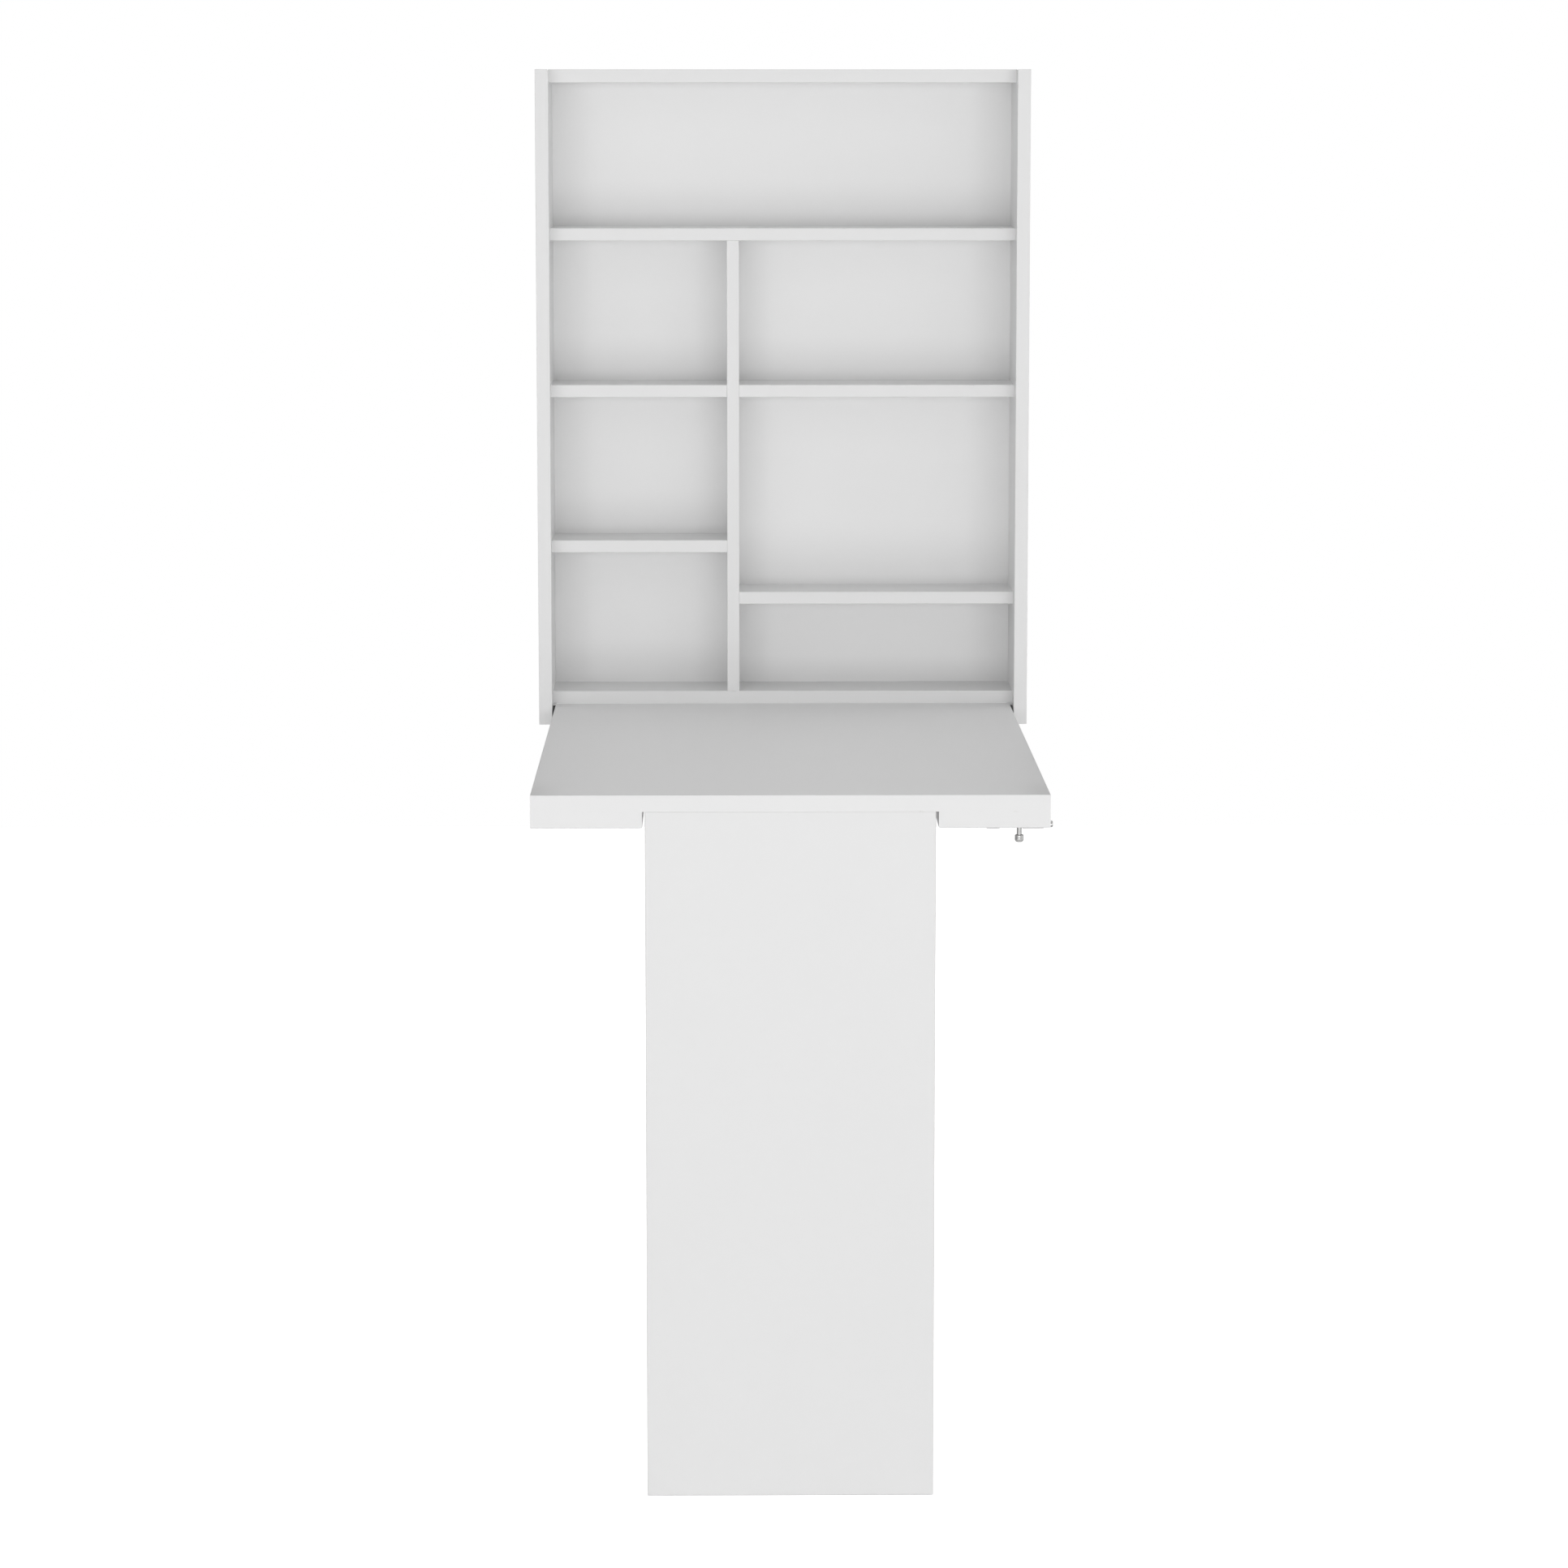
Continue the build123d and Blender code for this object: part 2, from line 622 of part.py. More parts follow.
def leg_leaf_screws():
    return [place for centre in HINGE_CENTRES_X for place in leaf_screws(centre, False)]


def leg_panel():
    half = LEG_WIDTH / 2
    top = desk_under_height - LEG_TOP_GAP
    board = box_between((-half, half), (leg_front_y, leg_back_y), (0.0, top))
    top_edges = board.faces().sort_by(Axis.Z)[-1].edges()
    board = ease(board.edges() - top_edges, SOFT_EDGE_EASE)
    board = cut(board, [leg_recess(x) for x in HINGE_CENTRES_X])
    return cut(board, screw_holes_at(leg_leaf_screws()))


# ---- barrel bolt ----

def bolt_plate_screws():
    """Locations of the guide plate's four screws, heads on the plate's open face."""
    z = desk_face_height - BOLT_PLATE_THICKNESS - ORIGIN_HEIGHT
    row = BOLT_PLATE_WIDTH / 2 - SCREW_HEAD_R - BOLT_SCREW_EDGE
    ends = (GUIDE_SPANS_X[0][0], GUIDE_SPANS_X[1][1] - BOLT_SCREW_FROM_END)
    return [Pos(x, bolt_y + y, z) * Rot(180, 0, 0) for x in ends for y in (-row, row)]


def bolt_guide_plate():
    half = BOLT_PLATE_WIDTH / 2
    plate_bottom = desk_face_height - BOLT_PLATE_THICKNESS
    plate = box_between(BOLT_PLATE_X, (bolt_y - half, bolt_y + half), (plate_bottom, desk_face_height))
    plate = fillet(plate.edges().filter_by(Axis.Z), BOLT_PLATE_CORNER_R)
    bore_r = BOLT_ROD_R + BOLT_RUNNING_GAP
    outer_r = bore_r + GUIDE_WALL
    for span in GUIDE_SPANS_X:
        collar = rod_along_x(outer_r, span, bolt_y, bolt_height)
        foot = box_between(span, (bolt_y - outer_r, bolt_y + outer_r), (bolt_height, plate_bottom))
        plate = plate + collar + foot
    plate = plate - rod_along_x(bore_r, BOLT_PLATE_X, bolt_y, bolt_height)
    return cut(plate, screw_holes_at(bolt_plate_screws()))


def knob_stud():
    """The part of the knob that sits inside the rod."""
    outside = bolt_height - BOLT_ROD_R
    return rod_upright(KNOB_STUD_R, KNOB_X, bolt_y, (outside, outside + KNOB_STUD_DEPTH))


def bolt_rod():
    rod = rod_along_x(BOLT_ROD_R, (BOLT_TIP_X - BOLT_ROD_LENGTH, BOLT_TIP_X), bolt_y, bolt_height)
    ends = rod.edges().filter_by(GeomType.CIRCLE)
    rod = chamfer(ends, BOLT_END_CHAMFER)
    flat = box_between(
        (KNOB_X - KNOB_STEM_R, KNOB_X + KNOB_STEM_R),
        (bolt_y - BOLT_ROD_R, bolt_y + BOLT_ROD_R),
        (bolt_height - BOLT_ROD_R, bolt_height - BOLT_ROD_R + KNOB_SEAT_DEPTH),
    )
    return rod - flat - knob_stud()


def bolt_knob():
    seat = bolt_height - BOLT_ROD_R + KNOB_SEAT_DEPTH
    end = desk_face_height - KNOB_REACH
    head_top = end + KNOB_HEAD_HEIGHT
    stem = rod_upright(KNOB_STEM_R, KNOB_X, bolt_y, (head_top - KNOB_SHOULDER_R, seat))
    head = rod_upright(KNOB_HEAD_R, KNOB_X, bolt_y, (end, head_top))
    head = fillet(head.edges().filter_by(GeomType.CIRCLE).sort_by(Axis.Z)[0], KNOB_NOSE_R)
    head = fillet(head.edges().filter_by(GeomType.CIRCLE).sort_by(Axis.Z)[-1], KNOB_SHOULDER_R)
    stud_top = bolt_height - BOLT_ROD_R + KNOB_STUD_DEPTH
    stud = rod_upright(KNOB_STUD_R, KNOB_X, bolt_y, (seat, stud_top))
    return stem + head + stud


# ---- write every node ----

os.makedirs("parts", exist_ok=True)

save("side_panel_left", side_panel(-1, left_ends))
save("side_panel_right", side_panel(1, right_ends))

top_ends = (left_ends["top"], right_ends["top"])
upper_ends = (left_ends["upper"], right_ends["upper"])
floor_ends = (left_ends["floor"], right_ends["floor"])
groove = back_groove_box()
save("top_panel", full_width_board(side_top, TOP_THICKNESS, 0.0, top_ends) - groove)
save("upper_shelf", cut(full_width_board(upper_top, SHELF_THICKNESS, back_front_y, upper_ends),
                        divider_end_dowels))
save("bottom_panel", cut(full_width_board(floor_panel_top, SHELF_THICKNESS, 0.0, floor_ends) - groove,
                         divider_end_dowels))

left_x = (-inner_x, divider_left_x)
right_x = (divider_right_x, inner_x)
save("divider", divider())
save("left_shelf_upper",
     short_shelf(left_x, middle_top, left_ends["middle"], divider_shelf_dowels))
save("left_shelf_lower",
     short_shelf(left_x, left_low_top, left_ends["low"], divider_shelf_dowels))
save("right_shelf_upper",
     short_shelf(right_x, middle_top, right_ends["middle"], divider_shelf_dowels))
save("right_shelf_lower",
     short_shelf(right_x, right_low_top, right_ends["low"], divider_shelf_dowels))
save("back_panel", back_panel())
save("hanging_cleat", hanging_cleat())
save("wall_cleat", wall_cleat())

save("cam_housings", *[end.cam() for end in all_ends])
save("cam_bolts", *[end.cam_bolt() for end in all_ends])
save("dowels", *[end.dowel() for end in all_ends],
     *divider_shelf_dowels, *divider_end_dowels, *hanging_dowels)
save("pivot_pins", pivot_pin(-1), pivot_pin(1))

save("desktop_board", desktop_board())
save("outer_strip_left", outer_strip(-1))
save("outer_strip_right", outer_strip(1))
save("pivot_bushings", pivot_bushing(-1), pivot_bushing(1))
save("leg_hinge_board_leaves", *[board_leaf(x) for x in HINGE_CENTRES_X])
save("leg_hinge_pins", *[
    rod_along_x(HINGE_PIN_R, hinge_pin_span(x), leg_pin_y, leg_pin_height) for x in HINGE_CENTRES_X
])
save("leg_hinge_board_screws", *screws_at(board_leaf_screws()))
save("bolt_guide_plate", bolt_guide_plate())
save("bolt_plate_screws", *screws_at(bolt_plate_screws()))

save("leg_panel", leg_panel())
save("leg_hinge_leg_leaves", *[leg_leaf(x) for x in HINGE_CENTRES_X])
save("leg_hinge_leg_screws", *screws_at(leg_leaf_screws()))

save("bolt_rod", bolt_rod())
save("bolt_knob", bolt_knob())
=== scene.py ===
import math
import bmesh
import bpy
from mathutils import Euler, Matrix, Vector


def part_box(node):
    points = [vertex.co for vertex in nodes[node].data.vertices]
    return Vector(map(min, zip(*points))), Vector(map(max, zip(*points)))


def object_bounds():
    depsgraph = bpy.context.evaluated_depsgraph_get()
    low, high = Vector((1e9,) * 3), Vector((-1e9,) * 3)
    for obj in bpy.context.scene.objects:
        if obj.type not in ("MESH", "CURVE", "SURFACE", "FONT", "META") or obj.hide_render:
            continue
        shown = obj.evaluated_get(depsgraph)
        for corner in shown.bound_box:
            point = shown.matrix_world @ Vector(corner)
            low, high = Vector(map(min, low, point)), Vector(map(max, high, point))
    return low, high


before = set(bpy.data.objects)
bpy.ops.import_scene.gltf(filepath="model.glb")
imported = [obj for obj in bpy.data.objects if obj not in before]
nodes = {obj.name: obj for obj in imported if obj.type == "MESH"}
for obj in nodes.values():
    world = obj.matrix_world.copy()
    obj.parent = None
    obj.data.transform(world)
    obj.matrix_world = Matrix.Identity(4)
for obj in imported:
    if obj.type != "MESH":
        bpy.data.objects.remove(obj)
cad_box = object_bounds()
scene = bpy.context.scene

# Everything is in metres, in the part's own frame: +X right, +Y into the wall, +Z up.
MM = 0.001

# ---- camera ----
CAMERA_PLACE = (-0.06316, -6.11008, 0.08485)
CAMERA_PITCH = math.radians(-8.095)
CAMERA_YAW = math.radians(0.619)      # turned to the right
CAMERA_LENS = 111.98
CAMERA_SENSOR = 36.0
CAMERA_FAR = 400.0


def make_camera():
    data = bpy.data.cameras.new("camera")
    data.lens = CAMERA_LENS
    data.sensor_width = CAMERA_SENSOR
    data.clip_end = CAMERA_FAR
    camera = bpy.data.objects.new("camera", data)
    camera.location = CAMERA_PLACE
    camera.rotation_euler = Euler((math.pi / 2 + CAMERA_PITCH, 0, -CAMERA_YAW))
    scene.collection.objects.link(camera)
    scene.camera = camera


# ---- node graphs ----

class Graph:
    """A material's node tree, with short calls that add a node and join its inputs."""

    def __init__(self, name):
        self.material = bpy.data.materials.new(name)
        self.material.use_nodes = True
        self.tree = self.material.node_tree
        self.tree.nodes.clear()
        self.output = self.add("OutputMaterial")
        self.coordinates = self.add("TexCoord")
        self.place = self.coordinates.outputs["Object"]

    def add(self, kind, **inputs):
        """Adds a node. A key sets a property, or else the socket of that name.

        i0, i1 and so on are sockets by number, and _ in a key stands for a space.
        """
        node = self.tree.nodes.new("ShaderNode" + kind)
        settings = {key: value for key, value in inputs.items() if hasattr(node, key)}
        for key, value in settings.items():
            setattr(node, key, value)
        for key, value in inputs.items():
            if key not in settings:
                numbered = key[0] == "i" and key[1:].isdigit()
                self.set(node.inputs[int(key[1:]) if numbered else key.replace("_", " ")], value)
        return node

    def set(self, socket, value):
        """Joins a socket to another, or gives it a constant."""
        if isinstance(value, bpy.types.NodeSocket):
            self.tree.links.new(value, socket)
        else:
            socket.default_value = value

    def split(self, vector):
        return self.add("SeparateXYZ", Vector=vector).outputs

    def math(self, operation, a, b=0.0, clamp=False):
        return self.add("Math", operation=operation, use_clamp=clamp, i0=a, i1=b).outputs[0]

    def plus(self, a, b):
        return self.math("ADD", a, b)

    def minus(self, a, b):
        return self.math("SUBTRACT", a, b)

    def times(self, a, b):
        return self.math("MULTIPLY", a, b)

    def between(self, value, low, high):
        """0 below low and 1 above high, with a smooth step."""
        node = self.add("MapRange", interpolation_type="SMOOTHSTEP", Value=value, From_Min=low,
                        From_Max=high)
        return node.outputs[0]

    def near(self, value, low, high):
        """1 below low and 0 above high, with a smooth step."""
        return self.minus(1.0, self.between(value, low, high))

    def spread(self, value, low, high):
        """Takes a value that runs from 0 to 1 to low..high."""
        return self.add("MapRange", Value=value, To_Min=low, To_Max=high).outputs[0]

    def noise(self, scale, detail=2.0, roughness=0.5, place=None, distortion=0.0):
        node = self.add("TexNoise", Vector=place or self.place, Scale=scale, Detail=detail,
                        Roughness=roughness, Distortion=distortion)
        return node.outputs["Fac"]

    def cells(self, scale, place=None, feature="F1", output="Distance"):
        node = self.add("TexVoronoi", feature=feature, Vector=place or self.place, Scale=scale)
        return node.outputs[output]

    def stretched(self, x, y, z):
        """The place, stretched so that a pattern runs along its smallest factor."""
        return self.add("Mapping", Vector=self.place, Scale=(x, y, z)).outputs[0]

    def mix(self, factor, a, b):
        """Colour between a and b."""
        return self.add("Mix", data_type="RGBA", i0=factor, i6=a, i7=b).outputs[2]

    def blend(self, factor, a, b):
        """Number between a and b."""
        return self.add("Mix", data_type="FLOAT", i0=factor, i2=a, i3=b).outputs[0]

    def bump(self, height, distance, strength=1.0, normal=None):
        node = self.add("Bump", Height=height, Distance=distance, Strength=strength)
        if normal is not None:
            self.set(node.inputs["Normal"], normal)
        return node.outputs[0]

    def finish(self, colour, roughness, normal, metallic=0.0, ior=1.5, rim=1.0):
        """Joins up the surface. rim darkens a metal's glancing reflections."""
        shader = self.add("BsdfPrincipled", Base_Color=colour, Roughness=roughness, Normal=normal,
                          Metallic=metallic, IOR=ior, Specular_Tint=grey(rim))
        self.set(self.output.inputs["Surface"], shader.outputs[0])
        return self.material


def grey(value, warm=0.0):
    """Neutral colour, or one slightly warmer."""
    return (value, value * (1 - 0.35 * warm), value * (1 - warm), 1.0)


def board_distances(g, node):
    """Distances from a point to the board's box: its nearer x, y and z sides, its front and its rear."""
    low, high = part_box(node)
    half = (high - low) / 2
    offset = g.add("VectorMath", operation="SUBTRACT", i0=g.place, i1=(low + high) / 2).outputs[0]
    size = g.add("VectorMath", operation="ABSOLUTE", i0=offset).outputs[0]
    room = g.add("VectorMath", operation="SUBTRACT", i0=half, i1=size).outputs[0]
    x, y, z = g.split(room)
    along = g.split(offset)[1]
    return x, y, z, g.plus(along, half.y), g.minus(half.y, along)


# ---- white melamine boards ----
# Scales are in cycles per metre. Tones are linear greys.
SHELVES = ("upper_shelf", "divider", "left_shelf_upper", "left_shelf_lower", "right_shelf_upper",
           "right_shelf_lower")
CLOUD_SCALE = 7
PRINT_SCALE = 90
GRAIN_SCALE = 1500
PORE_SCALE = 640
TONE_SHARES = (0.45, 0.30, 0.25)   # cloud, print and grain
FACE_TONES = (0.785, 0.815)
FACE_ROUGHNESS = (0.40, 0.52)
BAND_TONES = (0.786, 0.806)
BAND_ROUGHNESS = 0.36
BAND_THICKNESS = 0.9 * MM          # edge band glued on the board's edge
SEAM_HALF_WIDTH = 0.11 * MM
SEAM_TONE = grey(0.55, 0.05)
SEAM_STRENGTHS = (0.1, 0.6)
WEAR_REACH = 1.5 * MM
WEAR_TONE = grey(0.66, 0.07)
WEAR_STRENGTH = 0.5
WEAR_ROUGHNESS = 0.35
SCUFF_SCALE = 75
SCUFF_LEVELS = (0.56, 0.72)
# Painted shade towards the desktop's front corners: its reach across and back, its tone and strength.
CORNER_SHADE_WIDTH = 40 * MM
CORNER_SHADE_DEPTH = 130 * MM
CORNER_SHADE_TONE = grey(0.30, 0.04)
CORNER_SHADE_STRENGTH = 0.16
RAW_DEPTH = 0.5 * MM               # raw board shows this far round the rear edge
RAW_ROUGHNESS = 0.9
FAR_OFF = 1.0                      # stands for no band at all

WAVE_SCALE = 9
WAVE_DEPTH = 0.12 * MM             # how far a face strays from flat
PORE_DEPTH = 0.022 * MM
SEAM_DEPTH = 0.06 * MM

CHIP_SCALE = 520
CHIP_DEPTH = 0.3 * MM
CHIP_STRETCH = (1.0, 1.0, 0.35)
CHIP_DUST_SCALE = 1700
CHIP_TONES = ((0.30, 0.19, 0.10, 1), (0.62, 0.46, 0.29, 1))
CHIP_DUST_TONE = (0.47, 0.34, 0.21, 1)


def chipboard(g):
    """Colour and height of raw chipboard, as on an edge that has no band."""
    chips = g.cells(CHIP_SCALE, g.stretched(*CHIP_STRETCH), output="Color")
    tint = g.add("SeparateColor", Color=chips).outputs[0]
    dust_and_shade = g.noise(CHIP_DUST_SCALE, 2)
    colour = g.mix(g.spread(dust_and_shade, 0.0, 0.5), g.mix(tint, *CHIP_TONES), CHIP_DUST_TONE)
    return colour, g.plus(g.times(tint, 0.6), dust_and_shade)


def melamine(node, banded, raw_rear=False, slot="cabinet_board", painted_corner_shade=False):
    """White melamine for one board.

    banded says which sides carry an edge band: any of x, y, z or front.
    The last flag greys the face towards its front corners: painted shade.
    """
    g = Graph(f"{slot}_{node}")
    x, y, z, front, rear = board_distances(g, node)

    low_pair = g.math("MINIMUM", x, y)
    high_pair = g.math("MAXIMUM", x, y)
    edge = g.math("MAXIMUM", low_pair, g.math("MINIMUM", high_pair, z))
    sides = {"x": x, "y": y, "z": z, "front": front}
    band = FAR_OFF
    for side in banded:
        band = g.math("MINIMUM", band, sides[side])

    grain = g.noise(GRAIN_SCALE, 2, 0.6)
    patterns = (g.noise(CLOUD_SCALE, 3), g.noise(PRINT_SCALE, 4, 0.6), grain)
    cloud, print_grain, fine = (g.times(part, share) for part, share in zip(patterns, TONE_SHARES))
    tone = g.plus(g.plus(cloud, print_grain), fine)
    face = g.mix(tone, grey(FACE_TONES[0]), grey(FACE_TONES[1]))
    # Painted shade: the face greys towards its front corners.
    if painted_corner_shade:
        corner = g.times(g.near(x, 0.0, CORNER_SHADE_WIDTH), g.near(front, 0.0, CORNER_SHADE_DEPTH))
        face = g.mix(g.times(corner, CORNER_SHADE_STRENGTH), face, CORNER_SHADE_TONE)
    band_colour = g.mix(grain, grey(BAND_TONES[0]), grey(BAND_TONES[1]))
    in_band = g.math("LESS_THAN", band, BAND_THICKNESS)
    colour = g.mix(in_band, face, band_colour)

    off_seam = g.math("ABSOLUTE", g.minus(band, BAND_THICKNESS))
    seam = g.near(off_seam, SEAM_HALF_WIDTH * 0.4, SEAM_HALF_WIDTH * 1.6)
    seam = g.times(seam, g.spread(g.noise(60, 2), *SEAM_STRENGTHS))
    colour = g.mix(seam, colour, SEAM_TONE)

    scuffs = g.between(g.noise(SCUFF_SCALE, 5, 0.7), *SCUFF_LEVELS)
    wear = g.times(g.times(g.near(edge, 0.0, WEAR_REACH), scuffs), WEAR_STRENGTH)
    colour = g.mix(wear, colour, WEAR_TONE)

    roughness = g.blend(in_band, g.spread(tone, *FACE_ROUGHNESS), BAND_ROUGHNESS)
    roughness = g.plus(roughness, g.times(wear, WEAR_ROUGHNESS))

    pores = g.cells(PORE_SCALE, feature="SMOOTH_F1")
    normal = g.bump(g.noise(WAVE_SCALE, 1), WAVE_DEPTH, 0.5)
    normal = g.bump(g.plus(g.times(pores, 0.7), grain), PORE_DEPTH, 0.55, normal)
    relief = g.plus(seam, g.times(wear, 0.6))
    normal = g.bump(g.times(relief, -1.0), SEAM_DEPTH, 0.8, normal)

    if raw_rear:
        raw = g.near(rear, RAW_DEPTH * 0.7, RAW_DEPTH)
        raw_colour, raw_height = chipboard(g)
        colour = g.mix(raw, colour, raw_colour)
        roughness = g.blend(raw, roughness, RAW_ROUGHNESS)
        normal = g.bump(g.times(raw_height, raw), CHIP_DEPTH, 0.9, normal)
    return g.finish(colour, roughness, normal)


# ---- back panel ----
# The compartments, each as the board below it and the board above it.
COMPARTMENTS = (
    ("upper_shelf", "top_panel"),
    ("left_shelf_upper", "upper_shelf"),
    ("right_shelf_upper", "upper_shelf"),
    ("left_shelf_lower", "left_shelf_upper"),
    ("right_shelf_lower", "right_shelf_upper"),
    ("bottom_panel", "left_shelf_lower"),
    ("bottom_panel", "right_shelf_lower"),
)
# The back panel is painted darker just above each shelf: painted shade, standing in for the shadow
# there.
PAINTED_SHADE_REACH = 0.35                  # how far up the painted shade shows, over the compartment's height
PAINTED_SHADE_STRENGTH = 0.21
PAINTED_SHADE_TONE = grey(0.35)
PAINT_TONES = (0.880, 0.910)
PAINT_ROUGHNESS = (0.44, 0.56)
PAINT_DEPTHS = (0.35 * MM, 0.55 * MM)   # the paint ends between these, behind the front face
FIBRE_TONES = ((0.24, 0.14, 0.07, 1), (0.47, 0.32, 0.18, 1))
FLECK_TONE = (0.62, 0.48, 0.31, 1)
BARE_ROUGHNESS = 0.82
SCREEN_PITCH = 1.6 * MM            # pressed wire screen on the bare rear face
BACK_WAVE_SCALE = 6
BACK_WAVE_DEPTH = 0.3 * MM
PEEL_SCALE = 900                   # fine dimples in the paint
PEEL_DEPTH = 0.04 * MM
FIBRE_SCALE = 420
FLECK_SCALE = 700
FLECK_LEVELS = (0.58, 0.75)


def painted_shade_above_shelves(g):
    """Painted shade on the back panel: 1 just above a shelf, fading to 0 upwards."""
    x, _, z = g.split(g.place)
    dust_and_shade = 0.0
    for below, over in COMPARTMENTS:
        below_low, below_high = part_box(below)
        over_low, over_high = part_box(over)
        floor, ceiling = below_high.z, over_low.z
        here = g.near(z, floor, floor + PAINTED_SHADE_REACH * (ceiling - floor))
        inside = (
            g.math("GREATER_THAN", z, below_low.z),
            g.math("LESS_THAN", z, ceiling),
            g.math("GREATER_THAN", x, max(below_low.x, over_low.x)),
            g.math("LESS_THAN", x, min(below_high.x, over_high.x)),
        )
        for part in inside:
            here = g.times(here, part)
        dust_and_shade = g.math("MAXIMUM", dust_and_shade, here)
    return dust_and_shade


def hardboard(node):
    """Back panel: painted white in front, and bare hardboard with a pressed screen on its rear."""
    g = Graph("back_board_" + node)
    front = board_distances(g, node)[3]
    rear = g.between(front, *PAINT_DEPTHS)
    cloud = g.noise(5, 3)
    peel = g.noise(PEEL_SCALE, 2, 0.6)
    white = g.mix(g.plus(g.times(cloud, 0.6), g.times(peel, 0.4)), *(grey(t) for t in PAINT_TONES))
    # Painted shade: the white greys just above each shelf.
    white = g.mix(g.times(painted_shade_above_shelves(g), PAINTED_SHADE_STRENGTH), white, PAINTED_SHADE_TONE)
    fibres = g.noise(FIBRE_SCALE, 5, 0.7, g.stretched(1.0, 1.0, 0.45), 0.6)
    flecks = g.between(g.noise(FLECK_SCALE, 3, 0.6), *FLECK_LEVELS)
    bare = g.mix(g.times(flecks, 0.5), g.mix(fibres, *FIBRE_TONES), FLECK_TONE)

    x, _, z = g.split(g.place)
    wires = [g.math("SINE", g.times(along, 2 * math.pi / SCREEN_PITCH)) for along in (x, z)]
    screen = g.times(g.math("MAXIMUM", *wires), rear)
    normal = g.bump(g.noise(BACK_WAVE_SCALE, 1), BACK_WAVE_DEPTH, 0.5)
    normal = g.bump(g.plus(peel, g.times(screen, 2.5)), PEEL_DEPTH, 0.6, normal)
    roughness = g.blend(rear, g.spread(peel, *PAINT_ROUGHNESS), BARE_ROUGHNESS)
    return g.finish(g.mix(rear, white, bare), roughness, normal)


# ---- bare wood ----
VENEER = 1.67 * MM
VENEER_WANDER = 0.25               # how far a veneer strays, over its thickness
PLY_FACE_TONES = ((0.66, 0.47, 0.28, 1), (0.80, 0.63, 0.42, 1))
PLY_FIBRE_TONE = (0.47, 0.31, 0.17, 1)
PLY_END_TONES = ((0.33, 0.20, 0.10, 1), (0.60, 0.42, 0.24, 1))
GLUE_TONE = (0.16, 0.09, 0.05, 1)
GLUE_LINE = (0.44, 0.49)           # from a veneer's middle, over its thickness
PLY_WAVE_STRETCH = (5, 60, 110)
PLY_FIBRE_STRETCH = (40, 900, 1400)
PLY_ROUGHNESS = (0.6, 0.78)
PLY_DEPTH = 0.12 * MM
ON_FACE = 0.9                      # a normal with more of Y than this is on a face, not an edge
BEECH_TONES = ((0.60, 0.42, 0.25, 1), (0.76, 0.58, 0.38, 1))
BEECH_FLECK_TONE = (0.38, 0.23, 0.12, 1)
BEECH_FLECK_STRETCH = (500, 2600, 2600)
BEECH_ROUGHNESS = (0.5, 0.65)


def plywood(slot, node):
    """Plywood bar that lies along X, with its veneers stacked from front to rear."""
    g = Graph(slot + "_" + node)
    front = board_distances(g, node)[3]
    veneer = g.math("DIVIDE", front, VENEER)
    wandering = g.plus(veneer, g.times(g.noise(30, 2), VENEER_WANDER))
    layer = g.math("MODULO", g.math("FLOOR", wandering), 2.0)
    facing = g.math("ABSOLUTE", g.split(g.coordinates.outputs["Normal"])[1])
    on_edge = g.math("LESS_THAN", facing, ON_FACE)

    waves = g.noise(1.0, 4, 0.6, g.stretched(*PLY_WAVE_STRETCH), 0.8)
    fine = g.noise(1.0, 5, 0.7, g.stretched(*PLY_FIBRE_STRETCH))
    long_grain = g.mix(g.between(fine, 0.5, 0.8), g.mix(waves, *PLY_FACE_TONES), PLY_FIBRE_TONE)
    end_grain = g.mix(g.noise(1400, 4, 0.7), *PLY_END_TONES)
    colour = g.mix(g.times(layer, on_edge), long_grain, end_grain)
    glue = g.math("ABSOLUTE", g.minus(g.math("FRACT", veneer), 0.5))
    glue = g.times(g.between(glue, *GLUE_LINE), on_edge)
    colour = g.mix(g.times(glue, 0.6), colour, GLUE_TONE)
    normal = g.bump(g.plus(fine, g.times(layer, -0.4)), PLY_DEPTH, 0.6)
    return g.finish(colour, g.spread(waves, *PLY_ROUGHNESS), normal)


def beech(slot):
    """Dowels: pale beech with short flecks along the grain."""
    g = Graph(slot)
    flecks = g.between(g.noise(1.0, 3, 0.6, g.stretched(*BEECH_FLECK_STRETCH)), 0.55, 0.7)
    tone = g.noise(60, 3)
    colour = g.mix(g.times(flecks, 0.5), g.mix(tone, *BEECH_TONES), BEECH_FLECK_TONE)
    normal = g.bump(flecks, 0.05 * MM, 0.6)
    return g.finish(colour, g.spread(tone, *BEECH_ROUGHNESS), normal)


